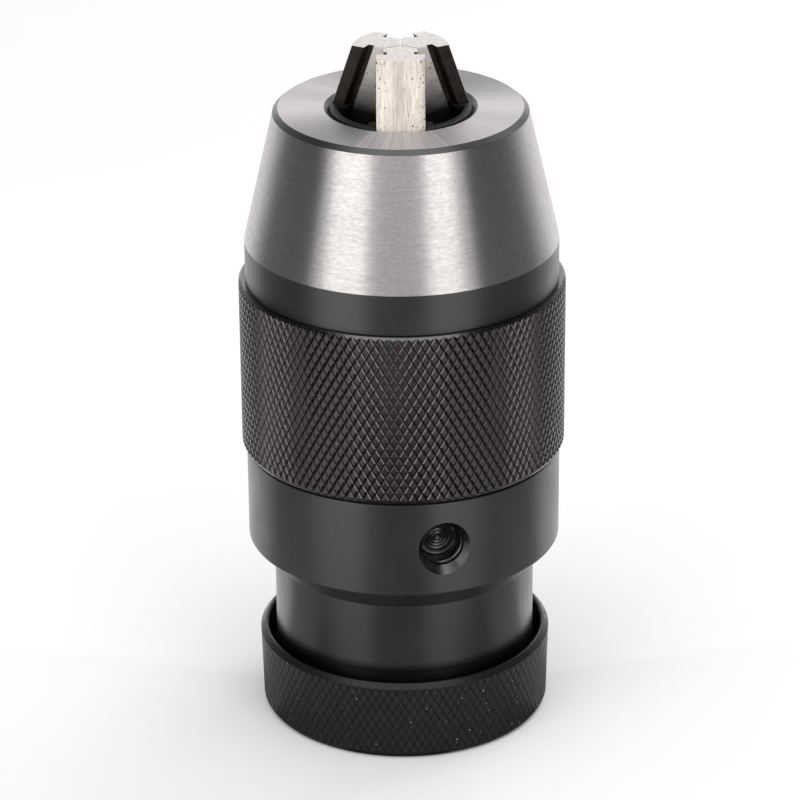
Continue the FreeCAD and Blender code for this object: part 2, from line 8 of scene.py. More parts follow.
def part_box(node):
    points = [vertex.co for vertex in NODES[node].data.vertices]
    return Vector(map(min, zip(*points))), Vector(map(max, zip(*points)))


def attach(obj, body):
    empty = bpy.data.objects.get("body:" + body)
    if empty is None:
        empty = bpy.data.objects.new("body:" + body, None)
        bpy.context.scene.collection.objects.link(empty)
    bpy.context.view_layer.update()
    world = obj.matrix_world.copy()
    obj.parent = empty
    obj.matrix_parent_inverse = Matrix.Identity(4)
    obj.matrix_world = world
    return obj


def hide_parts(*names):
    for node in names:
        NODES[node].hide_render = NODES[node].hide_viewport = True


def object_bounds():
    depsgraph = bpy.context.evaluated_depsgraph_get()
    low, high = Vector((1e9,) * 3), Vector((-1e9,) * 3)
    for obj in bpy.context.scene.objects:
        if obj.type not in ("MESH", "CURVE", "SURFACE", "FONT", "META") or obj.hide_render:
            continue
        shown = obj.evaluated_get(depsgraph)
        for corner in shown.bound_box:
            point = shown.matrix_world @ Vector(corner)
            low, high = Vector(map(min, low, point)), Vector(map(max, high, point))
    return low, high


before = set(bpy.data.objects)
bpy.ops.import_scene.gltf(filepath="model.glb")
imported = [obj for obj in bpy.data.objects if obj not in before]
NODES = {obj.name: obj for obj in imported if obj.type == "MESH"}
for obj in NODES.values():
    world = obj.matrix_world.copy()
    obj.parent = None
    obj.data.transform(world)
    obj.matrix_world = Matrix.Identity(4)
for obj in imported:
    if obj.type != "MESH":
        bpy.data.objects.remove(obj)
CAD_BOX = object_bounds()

# A keyless drill chuck standing on its rear ring, jaws up, with the jaws closed.
# Outlines are (radius, z, corner radius) in millimetres, about the chuck's axis, which is Z.

MM = 0.001

# Where the CAD pieces are, in millimetres
TIP_Z = CAD_BOX[1].z / MM
FACE_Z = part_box("hood")[1].z / MM
SKIRT_LOW_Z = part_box("hood")[0].z / MM
GRIP_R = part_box("grip_sleeve")[1].x / MM
GRIP_LOW_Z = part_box("grip_sleeve")[0].z / MM
GRIP_TOP_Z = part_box("grip_sleeve")[1].z / MM
RING_TOP_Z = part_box("rear_grip_ring")[1].z / MM

# Sizes that a box doesn't give, in millimetres
BAND_R = 23.96
BARREL_R = 24.29
SKIRT_R = 22.6
SKIRT_BORE_R = 21.0
RING_LOW_R = 22.5
RING_LEAN = (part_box("rear_grip_ring")[1].x / MM - RING_LOW_R) / RING_TOP_Z
GRIP_DEPTH = 0.36
RING_DEPTH = 0.18
CREST_TRIM = 0.03  # how much the blank cuts off the knurl's crests
SPANNER_Z = 36.8
SPANNER_TURN = math.radians(14.7)
BLADE_HALF_WIDTH = 2.55
JAW_LEAN = math.tan(math.radians(20.0))

SEGMENTS = 240
UP = (0, 0, 1)


# ------------------------------------------------------------------ mesh tools

def add_object(name, data):
    holder = bpy.data.objects.new(name, data)
    bpy.context.scene.collection.objects.link(holder)
    return holder


def new_object(name, corners, faces):
    """Closed mesh, from corners in millimetres."""
    mesh = bpy.data.meshes.new(name)
    mesh.from_pydata([Vector(corner) * MM for corner in corners], [], faces)
    piece = add_object(name, mesh)
    face_out(piece)
    return piece


def face_out(piece):
    """Turns every face of a closed mesh outward."""
    work = bmesh.new()
    work.from_mesh(piece.data)
    bmesh.ops.recalc_face_normals(work, faces=work.faces)
    work.to_mesh(piece.data)
    work.free()


def rounded(outline, steps=4):
    """Points of a closed outline whose corners are rounded by each corner's radius."""
    points = []
    before = outline[-1:] + outline[:-1]
    after = outline[1:] + outline[:1]
    for back, here, ahead in zip(before, outline, after):
        corner = Vector(here[:2])
        radius = here[2]
        if not radius:
            points.append(corner)
            continue
        to_back = (Vector(back[:2]) - corner).normalized()
        to_ahead = (Vector(ahead[:2]) - corner).normalized()
        half = to_back.angle(to_ahead) / 2
        reach = radius / math.tan(half)
        centre = corner + (to_back + to_ahead).normalized() * (radius / math.sin(half))
        first = corner + to_back * reach - centre
        last = corner + to_ahead * reach - centre
        for k in range(steps + 1):
            points.append(centre + first.slerp(last, k / steps) * radius)
    return points


def lathe(name, outline, segments=SEGMENTS, phase=0.0):
    """Closed ring turned about Z. Phase shifts its facets, in facets."""
    profile = rounded(outline)
    count = len(profile)
    corners = []
    faces = []
    for i in range(segments):
        turn = 2 * math.pi * (i + phase) / segments
        corners += [(p.x * math.cos(turn), p.x * math.sin(turn), p.y) for p in profile]
        here = i * count
        there = (i + 1) % segments * count
        for j in range(count):
            k = (j + 1) % count
            faces.append((here + j, there + j, there + k, here + k))
    return new_object(name, corners, faces)


def boolean(piece, tool, operation):
    """Cuts piece with tool, or keeps what they share, and removes tool."""
    modifier = piece.modifiers.new("cut", "BOOLEAN")
    modifier.operation = operation
    modifier.solver = "MANIFOLD"
    modifier.object = tool
    bake_modifiers(piece)
    bpy.data.objects.remove(tool)


def bake_modifiers(piece):
    """Applies every modifier of a piece to its mesh."""
    graph = bpy.context.evaluated_depsgraph_get()
    graph.update()
    mesh = bpy.data.meshes.new_from_object(piece.evaluated_get(graph))
    piece.modifiers.clear()
    piece.data = mesh


def dress(piece, materials, pick=None, sharp=35.0):
    """Shades a piece smooth up to a sharp angle, and gives each face the material whose number pick says."""
    mesh = piece.data
    mesh.materials.clear()
    for material in materials:
        mesh.materials.append(material)
    for face in mesh.polygons:
        face.use_smooth = True
        face.material_index = pick(face) if pick else 0
    mesh.set_sharp_from_angle(angle=math.radians(sharp))
    modifier = piece.modifiers.new("normals", "WEIGHTED_NORMAL")
    modifier.keep_sharp = True
    modifier.weight = 100


def stand_for(piece, node, body):
    """Puts a piece in place of a CAD node."""
    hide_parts(node)
    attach(piece, body)


# -------------------------------------------------------------- material tools

class Shader:
    """One material and short ways to add nodes to it."""

    def __init__(self, name):
        self.material = bpy.data.materials.new(name)
        self.material.use_nodes = True
        self.tree = self.material.node_tree
        self.surface = self.tree.nodes["Principled BSDF"]

    def add(self, kind, **settings):
        node = self.tree.nodes.new("ShaderNode" + kind)
        for name, value in settings.items():
            setattr(node, name, value)
        return node

    def join(self, source, target):
        self.tree.links.new(source, target)

    def put(self, value, socket):
        """Sets a socket to a value, or links it to another node's socket."""
        if isinstance(value, bpy.types.NodeSocket):
            self.join(value, socket)
        else:
            socket.default_value = value

    def math(self, operation, a, b=0.0, c=None):
        node = self.add("Math", operation=operation)
        self.put(a, node.inputs[0])
        self.put(b, node.inputs[1])
        if c is not None:
            self.put(c, node.inputs[2])
        return node.outputs[0]

    def place(self):
        """Position on the piece, in metres."""
        return self.add("TexCoord").outputs["Object"]

    def along(self, direction):
        """How far the position on the piece lies along a direction."""
        node = self.add("VectorMath", operation="DOT_PRODUCT")
        self.join(self.place(), node.inputs[0])
        node.inputs[1].default_value = direction
        return node.outputs["Value"]

    def round_place(self):
        """Position on the piece as x, y, z and the distance from the axis."""
        split = self.add("SeparateXYZ")
        self.join(self.place(), split.inputs[0])
        x, y, z = split.outputs
        square = self.math("ADD", self.math("MULTIPLY", x, x), self.math("MULTIPLY", y, y))
        return x, y, z, self.math("SQRT", square)

    def scaled_place(self, values, scales):
        merge = self.add("CombineXYZ")
        for socket, value, scale in zip(merge.inputs, values, scales):
            self.join(self.math("MULTIPLY", value, scale), socket)
        return merge.outputs[0]

    def turned_place(self, around, along):
        """Position for marks left by turning: slow around the axis, fine along the surface.

        A share of the radius is added to the height, so that a flat face has rings too."""
        x, y, z, radius = self.round_place()
        run = self.math("MULTIPLY_ADD", radius, 0.618, z)
        cosine = self.math("DIVIDE", x, radius)
        sine = self.math("DIVIDE", y, radius)
        return self.scaled_place((cosine, sine, run), (around, around, along))

    def jaw_place(self, turn, across, along):
        """Position on a jaw: across its face, into it, and along its lean."""
        side = self.along((-math.sin(turn), math.cos(turn), 0))
        inward = self.along((math.cos(turn), math.sin(turn), JAW_LEAN))
        return self.scaled_place((side, inward, self.along(UP)), (across, across, along))

    def pits(self, scale, share, size):
        """Small round pits, 1 in a pit and 0 elsewhere. Share is how many cells hold one."""
        node = self.add("TexVoronoi")
        self.join(self.place(), node.inputs["Vector"])
        node.inputs["Scale"].default_value = scale
        node.inputs["Randomness"].default_value = 1.0
        chance = self.add("SeparateColor")
        self.join(node.outputs["Color"], chance.inputs[0])
        reach = self.span(chance.outputs[0], 1.0 - share, 1.0, 0.0, size)
        inside = self.math("SUBTRACT", reach, node.outputs["Distance"])
        return self.span(inside, 0.0, 0.08, 0.0, 1.0)

    def noise(self, place, scale=1.0, detail=2.0, roughness=0.5):
        node = self.add("TexNoise")
        self.join(place, node.inputs["Vector"])
        node.inputs["Scale"].default_value = scale
        node.inputs["Detail"].default_value = detail
        node.inputs["Roughness"].default_value = roughness
        return node.outputs["Fac"]

    def span(self, value, low, high, to_low, to_high):
        """Maps low..high to to_low..to_high, held at both ends."""
        node = self.add("MapRange")
        self.put(value, node.inputs[0])
        for socket, number in zip(node.inputs[1:5], (low, high, to_low, to_high)):
            self.put(number, socket)
        return node.outputs[0]

    def mix(self, share, a, b):
        node = self.add("Mix", data_type="RGBA")
        self.put(share, node.inputs["Factor"])
        self.put(a, node.inputs[6])
        self.put(b, node.inputs[7])
        return node.outputs[2]

    def blend(self, a, b, share):
        """Two patterns added up. Share is the first one's."""
        return self.math("ADD", self.math("MULTIPLY", a, share), self.math("MULTIPLY", b, 1.0 - share))

    def bump(self, height, strength, distance):
        node = self.add("Bump")
        self.join(height, node.inputs["Height"])
        node.inputs["Strength"].default_value = strength
        node.inputs["Distance"].default_value = distance
        return node.outputs[0]

    def radial(self):
        """Direction round the axis, along which turned steel stretches reflections."""
        return self.add("Tangent", direction_type="RADIAL", axis="Z").outputs[0]

    def set(self, **sockets):
        """Sets the surface's sockets, named with _ for a space, and gives the material."""
        for name, value in sockets.items():
            self.put(value, self.surface.inputs[name.replace("_", " ")])
        return self.material


def shade(red, green, blue):
    return (red, green, blue, 1.0)


def tone(colour, share):
    """Colour made darker or lighter."""
    return shade(*[part * share for part in colour])


def hairlines(shader, scale, width, share):
    """Sparse hair-like scratches, 1 on a scratch and 0 elsewhere."""
    place = shader.place()
    wander = shader.noise(place, scale, 1.0)
    near = shader.math("ABSOLUTE", shader.math("SUBTRACT", wander, 0.5))
    line = shader.span(near, 0.0, width, 1.0, 0.0)
    patch = shader.noise(place, scale * 0.45, 0.0)
    return shader.math("MULTIPLY", line, shader.span(patch, share, share + 0.02, 0.0, 1.0))


# ------------------------------------------------------------------- materials

def ground_steel():
    """Bright steel, ground while it turns, so that its marks run round the axis."""
    shader = Shader("ground_steel")
    grain = shader.noise(shader.turned_place(24.0, 4200.0), detail=4.0, roughness=0.65)
    streak = shader.noise(shader.turned_place(5.0, 2200.0), detail=2.0)
    marks = shader.blend(grain, streak, 0.75)
    scratch = hairlines(shader, 90.0, 0.0016, 0.60)
    pit = shader.pits(2400.0, 0.05, 0.24)
    light = (0.62, 0.605, 0.60)
    colour = shader.mix(shader.span(marks, 0.34, 0.66, 0.0, 1.0), tone(light, 0.74), shade(*light))
    colour = shader.mix(shader.math("MULTIPLY", scratch, 0.30), colour, shade(0.9, 0.9, 0.9))
    colour = shader.mix(shader.math("MULTIPLY", pit, 0.5), colour, shade(0.1, 0.09, 0.09))
    return shader.set(
        Base_Color=colour,
        Metallic=1.0,
        Roughness=shader.span(marks, 0.35, 0.65, 0.36, 0.28),
        Anisotropic=0.8,
        Anisotropic_Rotation=0.25,
        Tangent=shader.radial(),
        Normal=shader.bump(marks, 0.42, 0.00002),
    )


def faced_steel():
    """Bright steel face, turned with fine rings, which spread each light into a fan."""
    shader = Shader("faced_steel")
    rings = shader.noise(shader.turned_place(2.0, 9000.0), detail=2.0)
    rays = shader.noise(shader.turned_place(46.0, 60.0), detail=3.0, roughness=0.65)
    light = shade(0.51, 0.50, 0.495)
    dark = shade(0.39, 0.38, 0.38)
    colour = shader.mix(shader.span(rays, 0.32, 0.68, 0.0, 1.0), dark, light)
    return shader.set(
        Base_Color=colour,
        Metallic=1.0,
        Roughness=shader.span(rays, 0.35, 0.65, 0.38, 0.46),
        Anisotropic=0.92,
        Anisotropic_Rotation=0.25,
        Tangent=shader.radial(),
        Normal=shader.bump(rings, 0.15, 0.00002),
    )


def black_oxide(name, colour, roughness):
    """Blackened turned steel. Its faint turning marks stretch reflections along the axis.

    The neck's foot, just above the rear ring, is darkened with painted shade, which stands for the shade of
    the ring's cup. It is made as a dark metal there, because that reflects less."""
    shader = Shader(name)
    marks = shader.noise(shader.turned_place(9.0, 5000.0), detail=3.0, roughness=0.6)
    cloud = shader.noise(shader.place(), 140.0, 3.0)
    scratch = hairlines(shader, 110.0, 0.0018, 0.62)
    base = shader.mix(cloud, tone(colour, 0.7), tone(colour, 1.35))
    base = shader.mix(shader.math("MULTIPLY", scratch, 0.35), base, shade(0.12, 0.12, 0.12))
    broad = shader.span(cloud, 0.3, 0.7, roughness - 0.03, roughness + 0.03)
    fine = shader.span(marks, 0.3, 0.7, -0.03, 0.03)
    # painted shade: just above the rear ring the neck turns to dark metal, so its reflections darken like the
    # shade of the ring's cup
    painted_foot_shade = shader.span(shader.along(UP), (RING_TOP_Z + 1.2) * MM, (RING_TOP_Z + 2.6) * MM, 0.87, 0.0)
    return shader.set(
        Base_Color=base,
        Metallic=painted_foot_shade,
        Roughness=shader.math("ADD", broad, fine),
        IOR=1.8,
        Anisotropic=0.75,
        Anisotropic_Rotation=0.25,
        Tangent=shader.radial(),
        Normal=shader.bump(marks, 0.15, 0.00002),
    )


def knurl_steel(name, colour, tint, crest_r, lean, depth, roughness, dull, specks):
    """Blackened knurl: glossy walls, duller grooves whose colour is darkened with painted shade, and bright
    specks of bare steel on the crests.

    Lean is how much the radius grows per unit of height. Dull is how much rougher the crests are than
    the walls. Specks is the share of worn spots."""
    shader = Shader(name)
    cloud = shader.noise(shader.place(), 500.0, 3.0)
    patch = shader.noise(shader.place(), 60.0, 2.0)
    z, radius = shader.round_place()[2:]
    level = shader.math("MULTIPLY_ADD", z, -lean, radius)
    height = shader.span(level, (crest_r - depth) * MM, crest_r * MM, 0.0, 1.0)
    base = shader.mix(patch, tone(colour, 0.6), tone(colour, 1.4))
    # painted shade: the colour goes near black towards the groove bottoms, standing for the shade inside the
    # grooves
    base = shader.mix(height, shade(0.003, 0.003, 0.003), base)
    on_crest = shader.span(height, 0.6, 0.9, 0.0, 1.0)
    speck = shader.math("MULTIPLY", shader.pits(2400.0, specks, 0.30), on_crest)
    base = shader.mix(speck, base, shade(0.45, 0.44, 0.42))
    rough = shader.span(cloud, 0.3, 0.7, roughness - 0.05, roughness + 0.05)
    rough = shader.math("ADD", rough, shader.span(height, 0.86, 0.93, 0.0, dull))
    rough = shader.math("ADD", rough, shader.span(height, 0.0, 0.5, 0.08, 0.0))
    return shader.set(
        Base_Color=base,
        Roughness=rough,
        IOR=1.85,
        Specular_Tint=shade(*tint),
        Normal=shader.bump(cloud, 0.25, 0.00003),
    )


def plain_black(name, roughness, ior):
    """Glossy blackened surface without turning marks."""
    shader = Shader(name)
    cloud = shader.noise(shader.place(), 1500.0, 3.0)
    return shader.set(
        Base_Color=shade(0.004, 0.004, 0.004),
        Roughness=shader.span(cloud, 0.3, 0.7, roughness - 0.07, roughness + 0.07),
        IOR=ior,
        Normal=shader.bump(cloud, 0.3, 0.00003),
    )


def machined(name, colour, roughness):
    """Turned metal inside the chuck."""
    shader = Shader(name)
    marks = shader.noise(shader.turned_place(2.0, 1500.0), detail=3.0)
    return shader.set(
        Base_Color=shader.mix(marks, tone(colour, 0.75), shade(*colour)),
        Metallic=1.0,
        Roughness=shader.span(marks, 0.3, 0.7, roughness - 0.07, roughness + 0.07),
        Normal=shader.bump(marks, 0.3, 0.00003),
    )


def felt():
    """Pressed wool felt."""
    shader = Shader("felt_wool")
    fibre = shader.noise(shader.place(), 2600.0, 5.0, 0.7)
    return shader.set(
        Base_Color=shader.mix(fibre, shade(0.10, 0.095, 0.085), shade(0.26, 0.25, 0.22)),
        Roughness=0.95,
        Sheen_Weight=0.4,
        Normal=shader.bump(fibre, 0.8, 0.0001),
    )


def jaw_front(angle):
    """Ground outer face of a jaw: warm bright steel, with the grain along the jaw and dark pits.

    The pits are closest together near the face's long edges."""
    shader = Shader("jaw_front_%d" % angle)
    turn = math.radians(angle)
    grain = shader.noise(shader.jaw_place(turn, 4400.0, 420.0), detail=4.0, roughness=0.7)
    broad = shader.noise(shader.jaw_place(turn, 900.0, 90.0), detail=2.0)
    lines = shader.blend(grain, broad, 0.8)
    light = shader.span(lines, 0.36, 0.62, 0.0, 1.0)
    colour = shader.mix(light, shade(0.56, 0.495, 0.425), shade(0.82, 0.775, 0.70))
    side = shader.along((-math.sin(turn), math.cos(turn), 0))
    near_edge = shader.span(shader.math("ABSOLUTE", side), 1.4 * MM, 3.4 * MM, 0.0, 1.0)
    dense = shader.math("MAXIMUM", shader.pits(3000.0, 0.5, 0.48), shader.pits(1300.0, 0.5, 0.32))
    sparse = shader.pits(1700.0, 0.30, 0.34)
    pit = shader.math("MAXIMUM", sparse, shader.math("MULTIPLY", near_edge, dense))
    colour = shader.mix(shader.math("MULTIPLY", pit, 0.85), colour, shade(0.05, 0.04, 0.035))
    height = shader.math("SUBTRACT", lines, pit)
    return shader.set(
        Base_Color=colour,
        Metallic=0.6,
        Roughness=shader.span(lines, 0.3, 0.7, 0.52, 0.40),
        Normal=shader.bump(height, 0.35, 0.00004),
    )


def jaw_top():
    """Ground end of the jaws, with pits."""
    shader = Shader("jaw_top")
    mottle = shader.noise(shader.place(), 1800.0, 4.0, 0.65)
    light = shader.span(mottle, 0.32, 0.68, 0.0, 1.0)
    colour = shader.mix(light, shade(0.54, 0.52, 0.50), shade(0.74, 0.715, 0.68))
    pit = shader.math("MAXIMUM", shader.pits(3200.0, 0.12, 0.30), shader.pits(1300.0, 0.08, 0.22))
    colour = shader.mix(shader.math("MULTIPLY", pit, 0.8), colour, shade(0.07, 0.06, 0.055))
    return shader.set(
        Base_Color=colour,
        Metallic=0.75,
        Roughness=shader.span(mottle, 0.3, 0.7, 0.46, 0.36),
        Normal=shader.bump(shader.math("SUBTRACT", mottle, pit), 0.25, 0.00003),
    )


def jaw_wedge():
    """Smooth ground wedge faces that meet when the jaws are closed. Further down, where they sink between the
    jaws, they are darkened with painted shade.
    """
    shader = Shader("jaw_wedge")
    mottle = shader.noise(shader.place(), 700.0, 3.0)
    colour = shader.mix(mottle, shade(0.50, 0.475, 0.45), shade(0.78, 0.75, 0.71))
    # painted shade: the wedge faces go near black further down, into the recess between the jaws
    wander = shader.math("MULTIPLY_ADD", mottle, 1.4 * MM, shader.along(UP))
    painted_low_shade = shader.span(wander, (TIP_Z - 10.0) * MM, (TIP_Z - 1.5) * MM, 1.0, 0.0)
    colour = shader.mix(painted_low_shade, colour, shade(0.012, 0.010, 0.009))
    pit = shader.math("MAXIMUM", shader.pits(2600.0, 0.30, 0.36), shader.pits(1100.0, 0.35, 0.34))
    colour = shader.mix(shader.math("MULTIPLY", pit, 0.85), colour, shade(0.02, 0.017, 0.015))
    return shader.set(
        Base_Color=colour,
        Metallic=0.2,
        Roughness=shader.span(mottle, 0.3, 0.7, 0.42, 0.34),
        Normal=shader.bump(shader.math("SUBTRACT", mottle, pit), 0.25, 0.00004),
    )


def jaw_scale():
    """Rough black hardening scale on the jaws' flanks."""
    shader = Shader("jaw_scale")
    crust = shader.noise(shader.place(), 900.0, 5.0, 0.7)
    light = shader.span(crust, 0.35, 0.65, 0.0, 1.0)
    return shader.set(
        Base_Color=shader.mix(light, shade(0.003, 0.0025, 0.002), shade(0.024, 0.017, 0.013)),
        Roughness=shader.span(crust, 0.3, 0.7, 0.34, 0.60),
        IOR=1.42,
        Normal=shader.bump(crust, 0.6, 0.00008),
    )


GROUND = ground_steel()
SHELL_BLACK = black_oxide("shell_oxide", (0.0085, 0.009, 0.009), 0.40)
BORE_BLACK = black_oxide("bore_oxide", (0.005, 0.005, 0.005), 0.45)
SLEEVE_KNURL = knurl_steel(
    "sleeve_knurl_steel", colour=(0.006, 0.0045, 0.005), tint=(1.0, 0.91, 0.985),
    crest_r=GRIP_R, lean=0.0, depth=GRIP_DEPTH, roughness=0.16, dull=0.22, specks=0.02)
RING_KNURL = knurl_steel(
    "ring_knurl_steel", colour=(0.006, 0.006, 0.006), tint=(0.75, 0.75, 0.75),
    crest_r=RING_LOW_R, lean=RING_LEAN, depth=RING_DEPTH, roughness=0.46, dull=0.0, specks=0.13)
SLEEVE_EDGE = plain_black("sleeve_edge_oxide", 0.18, 1.75)
RING_RIM = plain_black("ring_rim_oxide", 0.34, 1.45)
HOLE_BLACK = plain_black("hole_oxide", 0.26, 1.7)
GUIDE_BLACK = plain_black("guide_oxide", 0.52, 1.40)
FACED = faced_steel()
JAW_TOP = jaw_top()
JAW_WEDGE = jaw_wedge()
JAW_SCALE = jaw_scale()

INNER_MATERIALS = {
    "chuck_body": machined("core_steel", (0.30, 0.29, 0.28), 0.38),
    "hub_snap_ring": machined("snap_spring", (0.10, 0.10, 0.105), 0.32),
    "wave_washer": machined("wave_spring", (0.22, 0.21, 0.20), 0.30),
    "spindle_stop_ring": machined("stop_spring", (0.12, 0.12, 0.12), 0.32),
    "ring_drive_pins": machined("drive_pin_steel", (0.42, 0.41, 0.40), 0.28),
    "sleeve_key_pins": machined("key_pin_steel", (0.42, 0.41, 0.40), 0.28),
    "guide_pins": machined("guide_pin_steel", (0.42, 0.41, 0.40), 0.28),
    "front_race": machined("front_race_steel", (0.50, 0.49, 0.48), 0.16),
    "rear_race": machined("rear_race_steel", (0.50, 0.49, 0.48), 0.16),
    "thrust_balls": machined("ball_steel", (0.62, 0.61, 0.60), 0.08),
    "ball_cage": machined("cage_brass_sheet", (0.62, 0.44, 0.17), 0.30),
    "rear_bush": machined("bush_bronze_metal", (0.50, 0.30, 0.14), 0.40),
    "front_washer": machined("washer_plate", (0.38, 0.37, 0.36), 0.34),
    "spindle": machined("screw_steel", (0.34, 0.33, 0.32), 0.32),
    "dust_ring": felt(),
}


# --------------------------------------------------------------- turned pieces

def make_hood():
    """Band, ground cone, front chamfer and face, with the skirt under the grip sleeve.

    The conical bore leans as the jaws do. Carried on up to the jaws' tips, its radius would be bore_tip_r."""
    bore_tip_r = 7.18
    mouth_r = 11.55
    mouth_z = FACE_Z - 0.6
    cone_low_z = 78.33
    cone_high_z = FACE_Z - 0.7
    cone_high_r = 19.29
    chamfer_r = 18.46
    hood = lathe("hood_shell", [
        (SKIRT_BORE_R, SKIRT_LOW_Z, 0.1),
        (SKIRT_R, SKIRT_LOW_Z, 0.1),
        (SKIRT_R, GRIP_TOP_Z, 0),
        (BAND_R, GRIP_TOP_Z, 0.12),
        (BAND_R, cone_low_z, 0.25),
        (cone_high_r, cone_high_z, 0.10),
        (chamfer_r, FACE_Z, 0.10),
        (mouth_r, FACE_Z, 0.08),
        (bore_tip_r + (TIP_Z - mouth_z) * JAW_LEAN, mouth_z, 0.08),
        (SKIRT_BORE_R, TIP_Z - (SKIRT_BORE_R - bore_tip_r) / JAW_LEAN, 0.3),
    ])
    ground, black, bore, faced = range(4)

    def finish_of(face):
        centre = face.center / MM
        radius = math.hypot(centre.x, centre.y)
        outside = face.normal.dot(Vector((centre.x, centre.y, 0))) > 0 or face.normal.z > 0.9
        if not outside or radius < mouth_r - 0.05 or centre.z < GRIP_TOP_Z + 0.02:
            return bore
        if face.normal.z > 0.95:
            return faced
        on_chamfer = centre.z > cone_high_z - 0.02 and radius > chamfer_r + 0.04
        return black if centre.z < cone_low_z or on_chamfer else ground

    dress(hood, [GROUND, SHELL_BLACK, BORE_BLACK, FACED], finish_of)
    stand_for(hood, "hood", "shell")


def spanner_cutter():
    """Countersunk blind hole for a hook spanner, as a turned plug.

    Its floor has a centre mark and turned rings, and a small step widens the hole halfway up."""
    hole_r = 3.0
    wide_r = 3.22
    sink_r = 4.3
    floor_r = 19.8
    ring_gap = 0.26
    ring_height = 0.11
    profile = rounded([
        (0, floor_r - 0.35, 0),
        *[(i * ring_gap, floor_r - ring_height * (i % 2), 0) for i in range(1, 10)],
        (hole_r, floor_r, 0.20),
        (hole_r, floor_r + 2.4, 0.05),
        (wide_r, floor_r + 2.6, 0.05),
        (wide_r, BARREL_R - (sink_r - hole_r) + 0.1, 0.12),
        (sink_r + 1, BARREL_R + 1, 0),
        (0, BARREL_R + 1, 0),
    ])
    segments = 72
    corners = [(0, 0, profile[0].y), (0, 0, profile[-1].y)]
    side = profile[1:-1]
    count = len(side)
    faces = []
    for i in range(segments):
        turn = 2 * math.pi * i / segments
        corners += [(p.x * math.cos(turn), p.x * math.sin(turn), p.y) for p in side]
        here = 2 + i * count
        there = 2 + (i + 1) % segments * count
        faces.append((0, here, there))
        faces.append((1, there + count - 1, here + count - 1))
        for j in range(count - 1):
            faces.append((here + j, there + j, there + j + 1, here + j + 1))
    cutter = new_object("spanner_cutter", corners, faces)
    turn_out = Matrix.Rotation(SPANNER_TURN - math.pi / 2, 4, "Z") @ Matrix.Rotation(math.pi / 2, 4, "Y")
    cutter.data.transform(Matrix.Translation((0, 0, SPANNER_Z * MM)) @ turn_out)
    return cutter


def make_rear_shell():
    """Neck, shoulder, barrel with its blind hole, and the spigot inside the hood's skirt."""
    neck_r = 20.3
    neck_bore_r = 17.0
    neck_low_z = 5.6
    barrel_top_z = 44.4
    joint_groove_r = 23.5
    spigot_bore_r = 19.2
    spigot_top_z = 60.0
    seat_r = 16.05
    seat_low_z = 24.0
    seat_top_z = 41.0
    shell = lathe("rear_barrel", [
        (neck_bore_r, neck_low_z, 0.1),
        (neck_r, neck_low_z, 0.35),
        (neck_r, 25.4, 0.25),
        (BARREL_R - 0.2, 29.1, 0.16),
        (BARREL_R, 29.4, 0.2),
        (BARREL_R, barrel_top_z, 0.16),
        (joint_groove_r, barrel_top_z, 0.05),
        (joint_groove_r, GRIP_LOW_Z, 0),
        (SKIRT_BORE_R, GRIP_LOW_Z, 0),
        (SKIRT_BORE_R, spigot_top_z, 0.2),
        (spigot_bore_r, spigot_top_z, 0.1),
        (spigot_bore_r, seat_top_z, 0.1),
        (seat_r, seat_top_z, 0.1),
        (seat_r, seat_low_z, 0.1),
        (neck_bore_r, seat_low_z, 0.1),
    ])
    boolean(shell, spanner_cutter(), "DIFFERENCE")
    outward = Vector((math.sin(SPANNER_TURN), -math.cos(SPANNER_TURN), 0))
    middle = Vector((0, 0, SPANNER_Z))
    outer_finish, hole_finish = range(2)

    def finish_of(face):
        centre = face.center / MM
        out = centre.dot(outward)
        off_axis = (centre - outward * out - middle).length
        on_barrel = face.normal.dot(outward) > 0.9 and out > BARREL_R - 0.6
        return hole_finish if off_axis < 4.6 and out > 19 and not on_barrel else outer_finish

    dress(shell, [SHELL_BLACK, HOLE_BLACK], finish_of)
    stand_for(shell, "rear_shell", "shell")


# -------------------------------------------------------------- knurled pieces

def knurl_stock(name, radius_at, low_z, high_z, pitches, pitch_z, depth):
    """Solid bar whose outside is a raised diamond knurl, longer than the piece at both ends.

    Crests and groove crossings take turns on a grid of half pitches. Each diamond has a nearly flat top,
    sloping sides and a narrow groove round it: swell holds (share of the way out, share of the depth).
    The half diamonds in the first and last row are plain, because they are cut off."""
    swell = ((0.93, 0.53), (0.56, 0.13))
    around = ((1, 0), (0, 1), (-1, 0), (0, -1))
    sides = ((0, 1), (1, 2), (2, 3), (3, 0))
    across = 2 * pitches
    half = pitch_z / 2
    first = math.floor(low_z / half) - 1
    last = math.ceil(high_z / half) + 1
    rows = last - first + 1
    corners = []
    faces = []

    def add_corner(a, b, drop):
        z = (first + b) * half
        r = radius_at(z) - depth * drop
        turn = 2 * math.pi * a / across
        corners.append((r * math.cos(turn), r * math.sin(turn), z))
        return len(corners) - 1

    for b in range(rows):
        for a in range(across):
            add_corner(a, b, (a + b + 1) % 2)

    def at(a, b):
        return b * across + a % across

    for b in range(rows):
        for a in range((b + 1) % 2, across, 2):
            rim = [at(a + da, b + db) if 0 <= b + db < rows else None for da, db in around]
            if None not in rim:
                for share, drop in swell:
                    inner = [add_corner(a + da * share, b + db * share, drop) for da, db in around]
                    faces += [(rim[i], rim[j], inner[j], inner[i]) for i, j in sides]
                    rim = inner
            faces += [(rim[i], rim[j], at(a, b)) for i, j in sides if None not in (rim[i], rim[j])]
    faces.append(tuple(range(across))[::-1])
    faces.append(tuple((rows - 1) * across + a for a in range(across)))
    return new_object(name, corners, faces)


